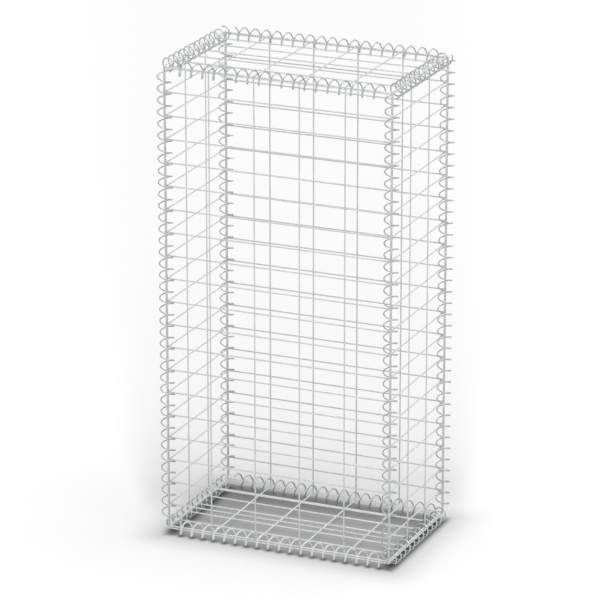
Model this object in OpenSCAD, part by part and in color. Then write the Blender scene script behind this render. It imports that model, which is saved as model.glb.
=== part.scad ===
// Gabion basket: six welded wire mesh panels bound along all twelve edges by spiral binders.
// Millimetres, +Z up, +X along the long face. The four lowest spirals rest on z = 0.

/* [Basket] */
// Length of the long face between its edge wires
basket_w = 500; // [300:50:1000]
// Depth from front to back between the axes of the upright spirals
basket_d = 300; // [200:50:1000]
// Height of the walls over their wire ends
basket_h = 1000; // [300:50:1500]

/* [Mesh] */
// Spacing of the line wires
line_gap = 100; // [75:5:150]
// Cross wire cells in one line wire spacing
cells_per_line = 2; // [1:1:2]
// Diameter of the mesh wire
mesh_wire_d = 3; // [2:0.1:4]
// Depth that a cross wire is pressed into a line wire at each weld
weld_depth = 1; // [0.3:0.1:1.2]
// Length of wire past the last weld
wire_over = 1.5; // [1:0.1:4]

/* [Spirals] */
// Diameter of a spiral, to the middle of its wire
spiral_d = 27; // [22:0.5:34]
// Diameter of the spiral wire
spiral_wire_d = 2.7; // [2:0.1:3.5]
// Pitch of a spiral, rounded to whole turns between the mesh wires
spiral_pitch = 25; // [15:1:50]
// Free length at each end of an upright spiral and of one along the long face
corner_gap = 25; // [20:1:40]
// Free length at each end of a spiral along a side
side_gap = 5; // [4:1:12]
// Clearance between a spiral and the mesh wires that it bears on
seat_gap = 0.4; // [0.2:0.05:0.8]

/* [Hidden] */
// Distance from the middle of an edge wire to the outermost wire surface past it
butt = max(wire_over, mesh_wire_d / 2);
// Height of a wall between its lowest and highest cross wires
wall_h = basket_h - 2 * butt;
// Cell counts and true spacings
nx = round(basket_w / line_gap);
ny = round(basket_d / line_gap);
nz = round(basket_h * cells_per_line / line_gap);
cell_x = basket_w / nx;
cell_y = basket_d / ny / cells_per_line;
cell_z = wall_h / nz;
// True pitches, with a whole number of turns from wire to wire
pitch_x = cell_x / round(cell_x / spiral_pitch);
pitch_y = cell_y / round(cell_y / spiral_pitch);
pitch_z = cell_z / round(cell_z / spiral_pitch);
// Distance between the two wire layers of a panel
layer = mesh_wire_d - weld_depth;
// The long panels stand against the edges of the side panels, half a step each side of the spiral axes
corner_step = butt + mesh_wire_d / 2 + layer;
long_y = (basket_d + corner_step) / 2;
side_d = basket_d - corner_step;
side_x = basket_w / 2;
// The base lies under the walls with its line wires up, and the lid on them with its cross wires down
flat_z = butt + mesh_wire_d / 2;
// Axes of the spirals, midway between the edge wires that each one binds
upright_x = side_x;
upright_y = basket_d / 2;
along_y = (basket_d / 2 + long_y - layer) / 2;
across_x = side_x - layer / 2;
lid_along_z = flat_z / 2;
lid_across_z = (flat_z + layer) / 2;
base_along_z = -(flat_z + layer) / 2;
base_across_z = -flat_z / 2;
// Side of a square bar of the same section area as the spiral wire
bar = spiral_wire_d * sqrt(PI) / 2;
// Half turns alternate between this bar and a bar thinner by the lip, so each joint has a clear step
lip = 0.06;
// Seats of the spirals against the walls' cross wires, the long panels' line wires,
// and the cross wires of the lid and the base
upright_seat = seat(pitch_z, 0);
along_seat = seat(pitch_x, long_y - along_y);
lid_across_seat = seat(pitch_y, flat_z - lid_across_z);
base_across_seat = seat(pitch_y, flat_z + layer + base_across_z);
// Advance of the lid's front spiral up to the level of the lid's line wires
lid_rise = pitch_x / 4 * (flat_z + layer - lid_along_z) / joint_r(pitch_x);
// Height of the wall's lowest cross wires above the ground
base_z = max(arc_r(pitch_y) + bar / 2 - base_across_z,
  joint_r(pitch_x) + joint_half(pitch_x) - base_along_z);
zinc = [0.72, 0.74, 0.76];
bright = [0.80, 0.81, 0.82];

// A straight length of mesh wire along +Z, eight-sided
module wire(length) {
  rotate(22.5) cylinder(h = length, d = mesh_wire_d / cos(22.5), center = true, $fn = 8);
}

// A flat panel: line wires along Y at z = 0, and cross wires along X welded below them
module mesh_panel(across, along, lines, crosses) {
  for (i = [0 : lines]) translate([(i / lines - 0.5) * across, 0, 0])
    rotate([90, 0, 0]) wire(along + 2 * wire_over);
  for (j = [0 : crosses]) translate([0, (j / crosses - 0.5) * along, -layer])
    rotate([0, 90, 0]) wire(across + 2 * wire_over);
}

// An upright panel facing -Y, with its line wires at the given distance from the middle
module wall(out, across, lines) {
  color(zinc) translate([0, -out, base_z + wall_h / 2]) rotate([90, 0, 0])
    mesh_panel(across, wall_h, lines, nz);
}

// A level panel with its line wires at the given height above the lowest cross wires
module flat(z) {
  color(zinc) translate([0, 0, base_z + z]) mesh_panel(basket_w, basket_d, nx, ny * cells_per_line);
}

module front_panel() {
  wall(long_y, basket_w, nx);
}

module back_panel() {
  rotate(180) front_panel();
}

module right_panel() {
  rotate(90) wall(side_x, side_d, ny);
}

module left_panel() {
  rotate(180) right_panel();
}

module base_panel() {
  flat(-flat_z);
}

module lid_panel() {
  flat(wall_h + flat_z + layer);
}

// A turn is two tilted half circles: their reach along the joint, true radius and tilt
function joint_r(pitch) = spiral_d / 2 - pitch * pitch / 32 / spiral_d;
function arc_r(pitch) = sqrt(pow(joint_r(pitch), 2) + pitch * pitch / 16);
function tilt(pitch) = atan2(pitch / 4, joint_r(pitch));
// Half the bar's depth at a joint, where it lies tilted
function joint_half(pitch) = bar / 2 * (cos(tilt(pitch)) + sin(tilt(pitch)));

// Distance along a spiral from a mesh wire, off its axis by the given amount, to the turn that bears on it
function seat(pitch, off) = mesh_wire_d / 2 + joint_half(pitch)
  + pitch / 4 * (1 - cos(asin(off / joint_r(pitch)))) + seat_gap;

// Half a turn of a left-handed spiral along +Z, from +X at z = 0 by -Y to -X
module half_turn(pitch, thick) {
  translate([0, 0, pitch / 4]) rotate([0, tilt(pitch), 0]) rotate(180)
    rotate_extrude(angle = 180, $fn = 64) translate([arc_r(pitch), 0]) square(thick, center = true);
}

// A spiral along +Z between two heights, pointing to +X at the height start
module spiral(low, high, start, pitch) {
  first = ceil((low - start) / pitch * 2);
  last = floor((high - start) / pitch * 2) - 1;
  color(bright) for (k = [first : last]) translate([0, 0, start + k * pitch / 2])
    rotate(k % 2 == 0 ? 0 : 180) half_turn(pitch, k % 2 == 0 ? bar : bar - lip);
}

// Upright spiral, pointing to the given direction at the height start above a cross wire
module upright(sx, sy, turn, start) {
  translate([sx * upright_x, sy * upright_y, base_z]) rotate(turn)
    spiral(corner_gap, wall_h - corner_gap, start, pitch_z);
}

// Spiral along +X, pointing down at the distance start past a line wire
module lengthwise(sy, z, start) {
  translate([-basket_w / 2, sy * along_y, base_z + z]) rotate([0, 90, 0])
    spiral(corner_gap, basket_w - corner_gap, start, pitch_x);
}

// Spiral along +Y, pointing to +X at the distance start past a cross wire of the lid
module crosswise(sx, z, start) {
  translate([sx * across_x, -basket_d / 2, base_z + z]) rotate([-90, 0, 0])
    spiral(side_gap, basket_d - side_gap, start, pitch_y);
}

module front_left_spiral() {
  upright(-1, -1, 90, -upright_seat - pitch_z / 4);
}

module front_right_spiral() {
  upright(1, -1, 90, -upright_seat);
}

module back_left_spiral() {
  upright(-1, 1, -90, upright_seat + pitch_z / 4);
}

module back_right_spiral() {
  upright(1, 1, -90, upright_seat);
}

module lid_front_spiral() {
  lengthwise(-1, wall_h + lid_along_z, pitch_x / 4 + lid_rise + along_seat);
}

module lid_back_spiral() {
  lengthwise(1, wall_h + lid_along_z, along_seat);
}

module lid_left_spiral() {
  crosswise(-1, wall_h + lid_across_z, -lid_across_seat);
}

module lid_right_spiral() {
  crosswise(1, wall_h + lid_across_z, lid_across_seat - pitch_y / 2);
}

module base_front_spiral() {
  lengthwise(-1, base_along_z, pitch_x / 4 - along_seat);
}

module base_back_spiral() {
  lengthwise(1, base_along_z, pitch_x / 2 - along_seat);
}

module base_left_spiral() {
  crosswise(-1, base_across_z, base_across_seat);
}

module base_right_spiral() {
  crosswise(1, base_across_z, pitch_y / 2 - base_across_seat);
}

front_panel();
back_panel();
left_panel();
right_panel();
lid_panel();
base_panel();
front_left_spiral();
front_right_spiral();
back_left_spiral();
back_right_spiral();
lid_front_spiral();
lid_back_spiral();
lid_left_spiral();
lid_right_spiral();
base_front_spiral();
base_back_spiral();
base_left_spiral();
base_right_spiral();
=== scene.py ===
import math

import bmesh
import bpy
from mathutils import Matrix, Vector


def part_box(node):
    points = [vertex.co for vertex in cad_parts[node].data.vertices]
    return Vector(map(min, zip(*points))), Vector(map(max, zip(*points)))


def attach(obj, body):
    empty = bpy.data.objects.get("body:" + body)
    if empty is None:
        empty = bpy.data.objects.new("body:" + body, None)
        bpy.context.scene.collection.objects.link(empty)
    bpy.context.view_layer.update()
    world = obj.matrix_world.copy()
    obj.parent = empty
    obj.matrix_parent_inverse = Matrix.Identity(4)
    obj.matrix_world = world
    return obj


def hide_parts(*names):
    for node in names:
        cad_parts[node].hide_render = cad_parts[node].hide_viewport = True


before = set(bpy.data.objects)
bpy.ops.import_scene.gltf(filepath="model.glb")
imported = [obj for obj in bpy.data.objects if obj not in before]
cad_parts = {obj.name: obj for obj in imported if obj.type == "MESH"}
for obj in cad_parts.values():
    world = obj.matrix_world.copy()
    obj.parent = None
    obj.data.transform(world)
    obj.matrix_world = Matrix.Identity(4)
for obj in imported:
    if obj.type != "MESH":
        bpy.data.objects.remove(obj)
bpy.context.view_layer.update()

X, Y, Z = 0, 1, 2
UP = Vector((0, 0, 1))
RIGHT = Vector((1, 0, 0))
BACK = Vector((0, 1, 0))

# Wire sizes, in metres
MESH_WIRE = 0.003
WIRE_END = 0.0015
SPIRAL_WIRE = 0.003
SPIRAL_REACH = 0.0144
EASED_END = 0.0003
WELD_REACH = 0.002
WELD_FLATNESS = 0.42
# Distance along a spiral from a mesh wire to the turn beside it, longer on the lid's left
BEARING = 0.0033
LEFT_LID_BEARING = 0.0107

# Mesh cells along the length, along the sides, up the walls, and from front to back of the lid and base
LONG_CELLS = 5
SIDE_CELLS = 3
HIGH_CELLS = 20
FLAT_CELLS = 6
# Turns of a spiral in one of these cells
LONG_TURNS = 4
HIGH_TURNS = 2
FLAT_TURNS = 2

# Free lengths at the ends of the spirals
LONG_GAP = 0.0185
SIDE_GAP = 0.0065
RIGHT_LID_GAP = 0.0105
FOOT_GAP = 0.0165
TOP_GAP = 0.003
# Heights of the spirals' axes above the walls' highest or lowest cross wires
LID_LONG_RISE = 0.0015
LID_SIDE_RISE = 0.0025
BASE_RISE = -0.001

# Facets round a wire, and steps in one turn of a spiral
WIRE_SIDES = 12
SPIRAL_SIDES = 10
TURN_STEPS = 28
# Shortest stretch of spiral that is made, and the gap that is closed between two stretches
SHORTEST = 0.000001
CLOSED_GAP = 0.00002

# Places of the welds' zinc and of the rim wires' lighter zinc, painted light, among a panel's materials
WELD_PLACE = 1
LIT_RIM_PLACE = 2

# Slanting direction along which a piece's corners and faces are listed, so that each run lists them alike
LISTING = (1.0, 0.37, 0.061)


# Materials

def new_group(name, outputs):
    group = bpy.data.node_groups.new(name, "ShaderNodeTree")
    for socket_name, kind in outputs:
        group.interface.new_socket(socket_name, in_out="OUTPUT", socket_type=kind)
    return group


def zinc_bloom():
    """Patchy zinc: broad dull bloom, small crystal flakes and fine grey specks, over Object coordinates."""
    group = new_group("zinc_bloom", [("Tone", "NodeSocketFloat"), ("Dull", "NodeSocketFloat"),
                                     ("Normal", "NodeSocketVector")])
    nodes = group.nodes
    links = group.links
    place = nodes.new("ShaderNodeTexCoord")
    patches = nodes.new("ShaderNodeTexNoise")
    patches.inputs["Scale"].default_value = 38.0
    patches.inputs["Detail"].default_value = 3.0
    patches.inputs["Roughness"].default_value = 0.6
    flakes = nodes.new("ShaderNodeTexVoronoi")
    flakes.inputs["Scale"].default_value = 420.0
    flakes.inputs["Randomness"].default_value = 1.0
    grain = nodes.new("ShaderNodeTexNoise")
    grain.inputs["Scale"].default_value = 1900.0
    grain.inputs["Detail"].default_value = 2.0
    for texture in (patches, flakes, grain):
        links.new(place.outputs["Object"], texture.inputs["Vector"])
    flake_tone = nodes.new("ShaderNodeSeparateColor")
    links.new(flakes.outputs["Color"], flake_tone.inputs["Color"])
    mixed = nodes.new("ShaderNodeMix")
    mixed.inputs["Factor"].default_value = 0.35
    links.new(patches.outputs["Fac"], mixed.inputs["A"])
    links.new(flake_tone.outputs["Red"], mixed.inputs["B"])
    dull = nodes.new("ShaderNodeMapRange")
    dull.inputs["From Min"].default_value = 0.35
    dull.inputs["From Max"].default_value = 0.7
    links.new(patches.outputs["Fac"], dull.inputs["Value"])
    rough_skin = nodes.new("ShaderNodeBump")
    rough_skin.inputs["Strength"].default_value = 0.25
    rough_skin.inputs["Distance"].default_value = 0.0001
    links.new(grain.outputs["Fac"], rough_skin.inputs["Height"])
    ends = nodes.new("NodeGroupOutput")
    links.new(mixed.outputs["Result"], ends.inputs["Tone"])
    links.new(dull.outputs["Result"], ends.inputs["Dull"])
    links.new(rough_skin.outputs["Normal"], ends.inputs["Normal"])
    return group


def zinc_material(name, bloom, bright, grey, gloss, matt, metal):
    """Galvanised wire: bloom runs between a bright and a grey zinc, and from gloss to matt."""
    material = bpy.data.materials.new(name)
    material.use_nodes = True
    nodes = material.node_tree.nodes
    links = material.node_tree.links
    shader = nodes["Principled BSDF"]
    shader.inputs["Metallic"].default_value = metal
    skin = nodes.new("ShaderNodeGroup")
    skin.node_tree = bloom
    colour = nodes.new("ShaderNodeValToRGB")
    colour.color_ramp.elements[0].position = 0.3
    colour.color_ramp.elements[0].color = (*bright, 1.0)
    colour.color_ramp.elements[1].position = 0.7
    colour.color_ramp.elements[1].color = (*grey, 1.0)
    links.new(skin.outputs["Tone"], colour.inputs["Fac"])
    links.new(colour.outputs["Color"], shader.inputs["Base Color"])
    rough = nodes.new("ShaderNodeMapRange")
    rough.inputs["To Min"].default_value = gloss
    rough.inputs["To Max"].default_value = matt
    links.new(skin.outputs["Dull"], rough.inputs["Value"])
    links.new(rough.outputs["Result"], shader.inputs["Roughness"])
    links.new(skin.outputs["Normal"], shader.inputs["Normal"])
    return material


bloom = zinc_bloom()
mesh_zinc = zinc_material("mesh_zinc", bloom, bright=(0.73, 0.74, 0.75), grey=(0.59, 0.60, 0.61),
                          gloss=0.2, matt=0.4, metal=0.15)
# A darker copy of the mesh zinc for the back panel: painted shade
shaded_back_zinc = zinc_material("shaded_back_zinc", bloom, bright=(0.66, 0.67, 0.68), grey=(0.52, 0.53, 0.54),
                          gloss=0.2, matt=0.4, metal=0.15)
# A lighter copy of the mesh zinc: painted light on the base panel, the panels' rim wires and the front base
# spiral
lit_zinc = zinc_material("lit_zinc", bloom, bright=(0.87, 0.88, 0.89), grey=(0.75, 0.76, 0.77),
                            gloss=0.2, matt=0.4, metal=0.15)
weld_zinc = zinc_material("weld_zinc", bloom, bright=(0.70, 0.70, 0.70), grey=(0.55, 0.55, 0.55),
                          gloss=0.35, matt=0.6, metal=0.4)
spiral_zinc = zinc_material("spiral_zinc", bloom, bright=(0.56, 0.57, 0.58), grey=(0.38, 0.39, 0.40),
                            gloss=0.12, matt=0.28, metal=0.75)
# A lighter copy of the spiral zinc for the base's side spirals: painted light
lit_base_spiral_zinc = zinc_material("lit_base_spiral_zinc", bloom, bright=(0.68, 0.69, 0.70),
                                 grey=(0.48, 0.49, 0.50), gloss=0.12, matt=0.28, metal=0.75)


# Pieces

def listing_place(point):
    """How far along the listing direction a point lies."""
    return sum(coordinate * share for coordinate, share in zip(point, LISTING))


def finish_piece(bm, name, materials):
    """Turns a bmesh into a piece on the basket that stands for the node of that name."""
    bmesh.ops.recalc_face_normals(bm, faces=bm.faces)
    bm.verts.sort(key=lambda vert: listing_place(vert.co))
    bm.faces.sort(key=lambda face: listing_place(face.calc_center_median()))
    for face in bm.faces:
        face.smooth = True
    mesh = bpy.data.meshes.new(name + "_wire")
    bm.to_mesh(mesh)
    bm.free()
    for material in materials:
        mesh.materials.append(material)
    piece = bpy.data.objects.new(name + "_wire", mesh)
    bpy.context.scene.collection.objects.link(piece)
    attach(piece, "root")
    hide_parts(name)


def frame_vector(axis, length):
    vector = Vector((0, 0, 0))
    vector[axis] = length
    return vector


def with_links(verts):
    """Vertices with the edges and faces on them, each once and in the same order each time."""
    edges = dict.fromkeys(edge for vert in verts for edge in vert.link_edges)
    faces = dict.fromkeys(face for vert in verts for face in vert.link_faces)
    return [*verts, *edges, *faces]


def row_of(bm, geom, step, count):
    """Repeats a shape along a straight row, with that many copies after the first, and returns all of it."""
    before = set(bm.verts[:] + bm.edges[:] + bm.faces[:]) - set(geom)
    bmesh.ops.spin(bm, geom=geom, cent=(0, 0, 0), axis=(0, 0, 1), dvec=step, angle=0.0, steps=count,
                   use_merge=False, use_duplicate=True)
    return [part for part in bm.verts[:] + bm.edges[:] + bm.faces[:] if part not in before]


def new_wire(bm, axis, middle, length):
    """A straight round wire along a frame axis, with its cut ends eased."""
    before = set(bm.verts[:] + bm.edges[:] + bm.faces[:])
    quarter = math.pi / 2
    turn = {X: Matrix.Rotation(quarter, 4, "Y"), Y: Matrix.Rotation(quarter, 4, "X"), Z: Matrix()}[axis]
    bmesh.ops.create_cone(bm, cap_ends=True, segments=WIRE_SIDES, radius1=MESH_WIRE / 2,
                          radius2=MESH_WIRE / 2, depth=length, matrix=Matrix.Translation(middle) @ turn)
    caps = [face for face in bm.faces if face not in before and len(face.verts) == WIRE_SIDES]
    rims = [edge for face in caps for edge in face.edges]
    bmesh.ops.bevel(bm, geom=rims, offset=EASED_END, affect="EDGES", segments=2, profile=0.5, material=-1)
    return [part for part in bm.verts[:] + bm.edges[:] + bm.faces[:] if part not in before]


def brighten_rim(wires, axis, low, high):
    """Gives the first and the last wire of a row along an axis a lighter zinc: painted light."""
    for part in wires:
        if isinstance(part, bmesh.types.BMFace):
            middle = part.calc_center_median()[axis]
            if min(middle - low[axis], high[axis] - middle) < MESH_WIRE:
                part.material_index = LIT_RIM_PLACE


def mesh_panel(node, line_axis, cross_axis, line_side, lines, crosses, zinc, rim_lines=False):
    """Welded mesh in a node's box: line wires on one face, cross wires on the other, a weld at each
    crossing. The outer cross wires get a lighter zinc, painted light, and with rim_lines the outer line
    wires too."""
    low, high = (Vector(corner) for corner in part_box(node))
    face_axis = 3 - line_axis - cross_axis
    near = low[face_axis] + MESH_WIRE / 2
    far = high[face_axis] - MESH_WIRE / 2
    size = high - low
    line_step = frame_vector(cross_axis, (size[cross_axis] - 2 * WIRE_END) / lines)
    cross_step = frame_vector(line_axis, (size[line_axis] - 2 * WIRE_END) / crosses)
    corner = low.copy()
    corner[line_axis] += WIRE_END
    corner[cross_axis] += WIRE_END
    bm = bmesh.new()
    first_line = corner.copy()
    first_line[line_axis] = (low[line_axis] + high[line_axis]) / 2
    first_line[face_axis] = far if line_side > 0 else near
    made_lines = row_of(bm, new_wire(bm, line_axis, first_line, size[line_axis]), line_step, lines)
    if rim_lines:
        brighten_rim(made_lines, cross_axis, low, high)
    first_cross = corner.copy()
    first_cross[cross_axis] = (low[cross_axis] + high[cross_axis]) / 2
    first_cross[face_axis] = near if line_side > 0 else far
    made_crosses = row_of(bm, new_wire(bm, cross_axis, first_cross, size[cross_axis]), cross_step, crosses)
    brighten_rim(made_crosses, line_axis, low, high)
    first_weld = corner.copy()
    first_weld[face_axis] = (near + far) / 2
    flat = Vector((1, 1, 1))
    flat[face_axis] = WELD_FLATNESS
    made = bmesh.ops.create_uvsphere(bm, u_segments=8, v_segments=6, radius=WELD_REACH,
                                     matrix=Matrix.Translation(first_weld) @ Matrix.Diagonal((*flat, 1)))
    weld = with_links(made["verts"])
    for part in weld:
        if isinstance(part, bmesh.types.BMFace):
            part.material_index = WELD_PLACE
    row_of(bm, row_of(bm, weld, cross_step, crosses), line_step, lines)
    finish_piece(bm, node, [zinc, weld_zinc, lit_zinc])


mesh_panel("front_panel", Z, X, -1, LONG_CELLS, HIGH_CELLS, mesh_zinc)
mesh_panel("back_panel", Z, X, 1, LONG_CELLS, HIGH_CELLS, shaded_back_zinc)
mesh_panel("left_panel", Z, Y, -1, SIDE_CELLS, HIGH_CELLS, mesh_zinc)
mesh_panel("right_panel", Z, Y, 1, SIDE_CELLS, HIGH_CELLS, mesh_zinc)
mesh_panel("lid_panel", Y, X, 1, LONG_CELLS, FLAT_CELLS, mesh_zinc, rim_lines=True)
mesh_panel("base_panel", Y, X, 1, LONG_CELLS, FLAT_CELLS, lit_zinc)


def spiral_length(bm, foot, along, start, low, high, pitch):
    """One stretch of left-handed spiral tube from low to high, open at both ends."""
    turn_per_length = -2 * math.pi / pitch
    first = start.copy()
    first.rotate(Matrix.Rotation(turn_per_length * low, 3, along))
    heading = along.cross(first) * (turn_per_length * SPIRAL_REACH) + along
    ring = (Matrix.Translation(foot + along * low + first * SPIRAL_REACH)
            @ heading.to_track_quat("Z", "Y").to_matrix().to_4x4())
    before = set(bm.verts[:] + bm.edges[:] + bm.faces[:])
    made = bmesh.ops.create_circle(bm, cap_ends=False, segments=SPIRAL_SIDES, radius=SPIRAL_WIRE / 2,
                                   matrix=ring)
    steps = max(1, round((high - low) / pitch * TURN_STEPS))
    bmesh.ops.spin(bm, geom=with_links(made["verts"]), cent=foot, axis=along,
                   dvec=along * ((high - low) / steps), angle=turn_per_length * (high - low),
                   steps=steps, use_merge=False, use_duplicate=False)
    return [part for part in bm.verts[:] + bm.edges[:] + bm.faces[:] if part not in before]


def spiral(node, foot, along, bearing, at, low, high, pitch, zinc):
    """A left-handed spiral from low to high on the axis from foot: at the distance at, it points in the
    bearing direction, to where a mesh wire enters it."""
    start = bearing.normalized()
    start.rotate(Matrix.Rotation(2 * math.pi / pitch * at, 3, along))
    turns = math.floor((high - low) / pitch)
    first = high - turns * pitch
    bm = bmesh.new()
    if first - low > SHORTEST:
        spiral_length(bm, foot, along, start, low, first, pitch)
    one_turn = spiral_length(bm, foot, along, start, first, first + pitch, pitch)
    row_of(bm, one_turn, along * pitch, turns - 1)
    bmesh.ops.remove_doubles(bm, verts=bm.verts, dist=CLOSED_GAP)
    mouths = [edge for edge in bm.edges if edge.is_boundary]
    bmesh.ops.holes_fill(bm, edges=mouths, sides=0)
    rims = [edge for face in bm.faces if len(face.verts) > 4 for edge in face.edges]
    bmesh.ops.bevel(bm, geom=rims, offset=EASED_END, affect="EDGES", segments=2, profile=0.5, material=-1)
    finish_piece(bm, node, [zinc])


front_low, front_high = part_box("front_panel")
lid_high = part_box("lid_panel")[1]
layer = front_high[Y] - front_low[Y] - MESH_WIRE
wall_foot = front_low[Z] + WIRE_END
wall_top = front_high[Z] - WIRE_END
half_w = front_high[X] - WIRE_END
half_d = lid_high[Y] - WIRE_END
front_y = -(front_low[Y] + MESH_WIRE / 2)
high_pitch = (wall_top - wall_foot) / HIGH_CELLS / HIGH_TURNS
long_pitch = 2 * half_w / LONG_CELLS / LONG_TURNS
side_pitch = 2 * half_d / FLAT_CELLS / FLAT_TURNS


def upright(node, sx, sy, bearing, at, foot_gap, top_gap):
    """A spiral at a corner, from its foot up."""
    foot = Vector((sx * half_w, sy * half_d, wall_foot))
    high = wall_top - wall_foot - top_gap
    spiral(node, foot, UP, Vector(bearing), at, foot_gap, high, high_pitch, spiral_zinc)


def lengthwise(node, sy, z, bearing, at, zinc):
    """A spiral along a long edge, from left to right."""
    foot = Vector((-half_w, sy * (half_d + front_y - layer) / 2, z))
    spiral(node, foot, RIGHT, Vector(bearing), at, LONG_GAP, 2 * half_w - LONG_GAP, long_pitch, zinc)


def crosswise(node, sx, z, bearing, at, front_gap, zinc):
    """A spiral along a side edge, from front to back."""
    foot = Vector((sx * (half_w - layer / 2), -half_d, z))
    spiral(node, foot, BACK, Vector(bearing), at, front_gap, 2 * half_d - SIDE_GAP, side_pitch, zinc)


lid_long_z = wall_top + LID_LONG_RISE
lid_side_z = wall_top + LID_SIDE_RISE
base_z = wall_foot + BASE_RISE

# Each spiral has the direction from its axis to where a mesh wire enters it, and the distance past that wire
upright("front_left_spiral", -1, -1, (0.01349, -0.0005, 0), -BEARING, FOOT_GAP, top_gap=0.007)
upright("front_right_spiral", 1, -1, (-0.002, 0.01335, 0), -BEARING, foot_gap=0.004, top_gap=0.0035)
upright("back_left_spiral", -1, 1, (0.01349, 0.0005, 0), BEARING, FOOT_GAP, TOP_GAP)
upright("back_right_spiral", 1, 1, (-0.002, -0.01335, 0), BEARING, FOOT_GAP, TOP_GAP)
lengthwise("lid_front_spiral", -1, lid_long_z, (0, 0.01304, 0.0035), BEARING, spiral_zinc)
lengthwise("lid_back_spiral", 1, lid_long_z, (0, 0.00225, -0.01331), BEARING, spiral_zinc)
# The front base spiral has the lighter zinc: painted highlights
lengthwise("base_front_spiral", -1, base_z, (0, 0.01426, -0.002), -BEARING, lit_zinc)
lengthwise("base_back_spiral", 1, base_z, (0, 0.00225, 0.01331), -BEARING, spiral_zinc)
crosswise("lid_left_spiral", -1, lid_side_z, (0.01349, 0, 0.0005), LEFT_LID_BEARING, SIDE_GAP, spiral_zinc)
crosswise("lid_right_spiral", 1, lid_side_z, (-0.01349, 0, 0.0005), BEARING, RIGHT_LID_GAP, spiral_zinc)
crosswise("base_left_spiral", -1, base_z, (0.01383, 0, -0.004), BEARING, SIDE_GAP, lit_base_spiral_zinc)
crosswise("base_right_spiral", 1, base_z, (-0.01383, 0, -0.004), -BEARING, SIDE_GAP, lit_base_spiral_zinc)


# Floor, light and camera

# Outline of the soft shadow painted on the floor, from the middle of the basket
SHADE_RIGHT = 0.261
SHADE_LEFT = 0.256
SHADE_FRONT = 0.162
SHADE_BACK = 0.162
# How fast its tones pass inwards from the front and the back, with the sides as one
FRONT_PACE = 1.6
BACK_PACE = 0.35
# Distances past the outline, over which the painted shadow's tones run, and the tones with their places from
# first to last
TONES_FROM = -0.05
TONES_TO = 0.1
TONES = [(0.0, 0.43), (0.1, 0.40), (0.187, 0.33), (0.253, 0.27), (0.313, 0.39), (0.36, 0.65),
         (0.41, 0.75), (0.523, 0.82), (0.653, 0.89), (0.827, 0.95), (1.0, 0.97)]
# Long shadow painted away behind the basket: cosine and sine of its turn, half its width, its lean and its
# opening, and how dark it is near the basket, far from it and at most
AWAY_COS = 0.917
AWAY_SIN = 0.398
AWAY_HALF = 0.305
AWAY_LEAN = 0.02
AWAY_ORIGIN = 0.27
AWAY_OPENING = 0.16
AWAY_START = 0.01
AWAY_RISE = 0.2
AWAY_NEAR = 0.045
AWAY_FAR = 0.04
AWAY_MOST = 0.2
# Painted shadow in strips under the side spirals, which stop short of the corners
STRIP_X = 0.247
STRIP_HALF = 0.028
STRIP_DARK = 0.65
STRIP_STOP = 0.03
# Painted shadow spots where the front spiral's turns touch the floor
SPOT_X = -0.2436
SPOT_IN = 0.004
SPOT_HALF = 0.013
SPOT_DARK = 0.4
SPOT_STOP = 0.03
SPOT_END = 0.01
# Half the floor's width, its tone in scattered light, and the strength of the sky as a light
FLOOR_REACH = 40.0
FLOOR_WHITE = 0.97
SKY_LIGHT = 0.62


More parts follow.
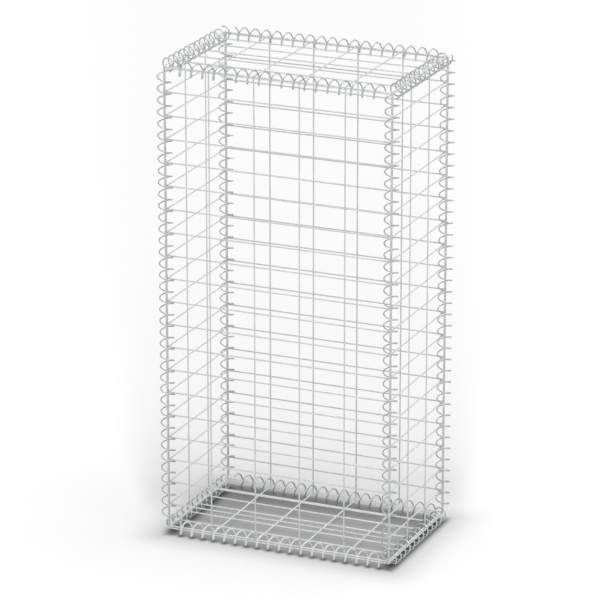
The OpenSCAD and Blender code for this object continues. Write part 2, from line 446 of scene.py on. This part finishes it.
def painted_floor_shadow():
    """Painted shadow on the floor: dark under the basket's edges and the front spiral's turns, short round
    the basket, and long away behind it."""
    group = new_group("painted_floor_shadow", [("Colour", "NodeSocketColor")])
    nodes = group.nodes
    links = group.links

    def calc(operation, *values):
        node = nodes.new("ShaderNodeMath")
        node.operation = operation
        for socket, value in zip(node.inputs, values):
            if isinstance(value, float):
                socket.default_value = value
            else:
                links.new(value, socket)
        return node.outputs["Value"]

    def reach(*values):
        corner = nodes.new("ShaderNodeCombineXYZ")
        for socket, value in zip(corner.inputs, values):
            links.new(value, socket)
        size = nodes.new("ShaderNodeVectorMath")
        size.operation = "LENGTH"
        links.new(corner.outputs["Vector"], size.inputs[0])
        return size.outputs["Value"]

    def fade(value, first, last, start, end):
        node = nodes.new("ShaderNodeMapRange")
        node.interpolation_type = "SMOOTHSTEP"
        node.inputs["From Min"].default_value = first
        node.inputs["From Max"].default_value = last
        node.inputs["To Min"].default_value = start
        node.inputs["To Max"].default_value = end
        links.new(value, node.inputs["Value"])
        return node.outputs["Result"]

    place = nodes.new("ShaderNodeTexCoord")
    parts = nodes.new("ShaderNodeSeparateXYZ")
    links.new(place.outputs["Object"], parts.inputs["Vector"])
    x = parts.outputs["X"]
    y = parts.outputs["Y"]

    # Painted shadow round the basket's outline
    left = calc("SUBTRACT", calc("MULTIPLY", x, -1.0), SHADE_LEFT)
    side = calc("MAXIMUM", calc("SUBTRACT", x, SHADE_RIGHT), left)
    front = calc("SUBTRACT", calc("MULTIPLY", y, -1.0), SHADE_FRONT)
    back = calc("SUBTRACT", y, SHADE_BACK)
    outside = reach(calc("MAXIMUM", side, 0.0), calc("MAXIMUM", front, 0.0), calc("MAXIMUM", back, 0.0))
    inside = calc("MAXIMUM", calc("MULTIPLY", front, FRONT_PACE), calc("MULTIPLY", back, BACK_PACE))
    near = calc("ADD", outside, calc("MINIMUM", calc("MAXIMUM", side, inside), 0.0))
    along = nodes.new("ShaderNodeMapRange")
    along.inputs["From Min"].default_value = TONES_FROM
    along.inputs["From Max"].default_value = TONES_TO
    links.new(near, along.inputs["Value"])
    tone = nodes.new("ShaderNodeValToRGB")
    while len(tone.color_ramp.elements) < len(TONES):
        tone.color_ramp.elements.new(0.5)
    for element, (position, grey) in zip(tone.color_ramp.elements, TONES):
        element.position = position
        element.color = (grey, grey, grey, 1.0)
    links.new(along.outputs["Result"], tone.inputs["Fac"])

    # Painted long shadow away behind the basket
    across = calc("ADD", calc("MULTIPLY", x, AWAY_COS), calc("MULTIPLY", y, AWAY_SIN))
    away = calc("SUBTRACT", calc("MULTIPLY", y, AWAY_COS), calc("MULTIPLY", x, AWAY_SIN))
    depth = calc("MAXIMUM", away, AWAY_START)
    leaning = calc("ADD", across, calc("MULTIPLY", away, AWAY_LEAN))
    off_side = calc("SUBTRACT", calc("ABSOLUTE", leaning), AWAY_HALF)
    width = fade(calc("DIVIDE", off_side, calc("ADD", depth, AWAY_ORIGIN)), 0.0, AWAY_OPENING, 1.0, 0.0)
    length = calc("MINIMUM", calc("ADD", calc("DIVIDE", AWAY_NEAR, depth), AWAY_FAR), AWAY_MOST)
    behind = calc("MULTIPLY", calc("MULTIPLY", width, length), fade(away, 0.0, AWAY_RISE, 0.0, 1.0))

    # Painted shadow under the side spirals
    off_strip = calc("ABSOLUTE", calc("SUBTRACT", calc("ABSOLUTE", x), STRIP_X))
    strip_shadow = calc("MULTIPLY", fade(off_strip, 0.0, STRIP_HALF, STRIP_DARK, 0.0),
                 fade(calc("MAXIMUM", front, back), -STRIP_STOP, 0.0, 1.0, 0.0))

    # Painted contact shadows under the front spiral's turns, lighter between them
    turns = calc("COSINE", calc("MULTIPLY", calc("SUBTRACT", x, SPOT_X), 2 * math.pi / long_pitch))
    off_spots = calc("ABSOLUTE", calc("ADD", front, SPOT_IN))
    spot_row = calc("MULTIPLY", fade(off_spots, 0.0, SPOT_HALF, SPOT_DARK, 0.0),
                    fade(side, -SPOT_STOP, -SPOT_END, 1.0, 0.0))
    spot_shadows = calc("MULTIPLY", turns, spot_row)

    kept = calc("MULTIPLY", calc("SUBTRACT", 1.0, behind), calc("SUBTRACT", 1.0, strip_shadow))
    kept = calc("MULTIPLY", kept, calc("SUBTRACT", 1.0, spot_shadows))
    ends = nodes.new("NodeGroupOutput")
    links.new(calc("MULTIPLY", tone.outputs["Color"], kept), ends.inputs["Colour"])
    return group


def studio_floor():
    """A white floor: the soft painted shadow shows on it and in reflections, and it throws its light back
    evenly.
    """
    bm = bmesh.new()
    bmesh.ops.create_grid(bm, x_segments=1, y_segments=1, size=FLOOR_REACH)
    mesh = bpy.data.meshes.new("studio_floor")
    bm.to_mesh(mesh)
    bm.free()
    material = bpy.data.materials.new("floor_white")
    material.use_nodes = True
    nodes = material.node_tree.nodes
    shader = nodes["Principled BSDF"]
    shader.inputs["Roughness"].default_value = 0.9
    shader.inputs["Specular IOR Level"].default_value = 0.0
    shade = nodes.new("ShaderNodeGroup")
    shade.node_tree = painted_floor_shadow()
    links = material.node_tree.links
    # Camera and reflections see the painted shadow; diffuse light meets plain white
    path = nodes.new("ShaderNodeLightPath")
    tone = nodes.new("ShaderNodeMix")
    tone.data_type = "RGBA"
    tone.inputs["B"].default_value = (FLOOR_WHITE, FLOOR_WHITE, FLOOR_WHITE, 1.0)
    links.new(path.outputs["Is Diffuse Ray"], tone.inputs["Factor"])
    links.new(shade.outputs["Colour"], tone.inputs["A"])
    links.new(tone.outputs["Result"], shader.inputs["Base Color"])
    mesh.materials.append(material)
    floor = bpy.data.objects.new("studio_floor", mesh)
    bpy.context.scene.collection.objects.link(floor)


def white_world():
    """White to the camera and in reflections, softer as a light."""
    world = bpy.data.worlds.new("studio")
    bpy.context.scene.world = world
    world.use_nodes = True
    nodes = world.node_tree.nodes
    links = world.node_tree.links
    nodes.clear()
    path = nodes.new("ShaderNodeLightPath")
    seen = nodes.new("ShaderNodeMath")
    seen.operation = "MAXIMUM"
    links.new(path.outputs["Is Camera Ray"], seen.inputs[0])
    links.new(path.outputs["Is Glossy Ray"], seen.inputs[1])
    clear = nodes.new("ShaderNodeMath")
    clear.operation = "MAXIMUM"
    links.new(seen.outputs["Value"], clear.inputs[0])
    links.new(path.outputs["Is Transmission Ray"], clear.inputs[1])
    light = nodes.new("ShaderNodeBackground")
    light.inputs["Color"].default_value = (1.0, 1.0, 1.0, 1.0)
    light.inputs["Strength"].default_value = SKY_LIGHT
    white = nodes.new("ShaderNodeBackground")
    white.inputs["Color"].default_value = (1.0, 1.0, 1.0, 1.0)
    white.inputs["Strength"].default_value = 1.0
    mix = nodes.new("ShaderNodeMixShader")
    links.new(clear.outputs["Value"], mix.inputs["Fac"])
    links.new(light.outputs["Background"], mix.inputs[1])
    links.new(white.outputs["Background"], mix.inputs[2])
    out = nodes.new("ShaderNodeOutputWorld")
    links.new(mix.outputs["Shader"], out.inputs["Surface"])


def direction(azimuth, elevation):
    """Unit vector to that side, with the azimuth counted from the front to the right."""
    turn = math.radians(azimuth)
    rise = math.radians(elevation)
    return Vector((math.sin(turn) * math.cos(rise), -math.cos(turn) * math.cos(rise), math.sin(rise)))


def soft_sun(name, azimuth, elevation, spread, strength):
    """A broad, even key light from that side of the sky."""
    data = bpy.data.lights.new(name, "SUN")
    data.angle = math.radians(spread)
    data.energy = strength
    lamp = bpy.data.objects.new(name, data)
    away = direction(azimuth, elevation)
    lamp.rotation_euler = away.to_track_quat("Z", "Y").to_euler()
    bpy.context.scene.collection.objects.link(lamp)


def photo_camera(azimuth, elevation, target, distance, lens):
    data = bpy.data.cameras.new("photo_camera")
    data.lens = lens
    data.sensor_width = 36.0
    data.clip_end = 200.0
    camera = bpy.data.objects.new("photo_camera", data)
    away = direction(azimuth, elevation)
    camera.location = Vector(target) + away * distance
    camera.rotation_euler = away.to_track_quat("Z", "Y").to_euler()
    bpy.context.scene.collection.objects.link(camera)
    bpy.context.scene.camera = camera


studio_floor()
white_world()
soft_sun("key_light", azimuth=90, elevation=78, spread=60, strength=1.4)
photo_camera(azimuth=23.47, elevation=18.54, target=(-0.01475, 0.0, 0.50303), distance=8.353, lens=241.1)
bpy.context.scene.view_settings.view_transform = "Standard"
